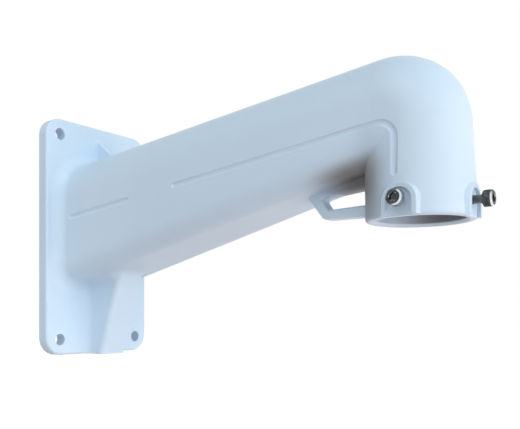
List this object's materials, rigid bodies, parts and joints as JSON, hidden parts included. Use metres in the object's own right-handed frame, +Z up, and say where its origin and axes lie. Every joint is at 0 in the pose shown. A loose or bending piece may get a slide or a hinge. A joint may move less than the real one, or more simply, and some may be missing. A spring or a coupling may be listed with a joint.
{
  "type": "dome camera wall bracket",
  "caption": "Cast white wall arm for a dome camera: tall wall plate, hollow tapered arm turning down into a round collar, and screws that clamp the camera's spigot.",
  "frame": {"origin": "centre of the wall bolt pattern, on the plate's back face", "axes": "+Y into the wall, so the arm reaches out along -Y; +Z up; +X to the right seen from the room"},
  "size_m": [0.104, 0.3177, 0.183],
  "materials": {
    "white_paint": "smooth satin powder coat over cast aluminium",
    "screw_steel": "plain bright stainless steel with darker sockets"
  },
  "bodies": {
    "bracket": {"bracket_casting": "white_paint"},
    "left_screw": {"clamp_screw_left": "screw_steel"},
    "front_screw": {"clamp_screw_front": "screw_steel"},
    "right_screw": {"clamp_screw_right": "screw_steel"}
  },
  "joints": [
    {"name": "left_screw_slide", "type": "slide", "parent": "bracket", "child": "left_screw", "axis": [1, 0, 0], "range_m": [-0.003, 0.003]},
    {"name": "front_screw_slide", "type": "slide", "parent": "bracket", "child": "front_screw", "axis": [0, 1, 0], "range_m": [-0.001, 0.005]},
    {"name": "right_screw_slide", "type": "slide", "parent": "bracket", "child": "right_screw", "axis": [-1, 0, 0], "range_m": [-0.0025, 0.0038]}
  ]
}
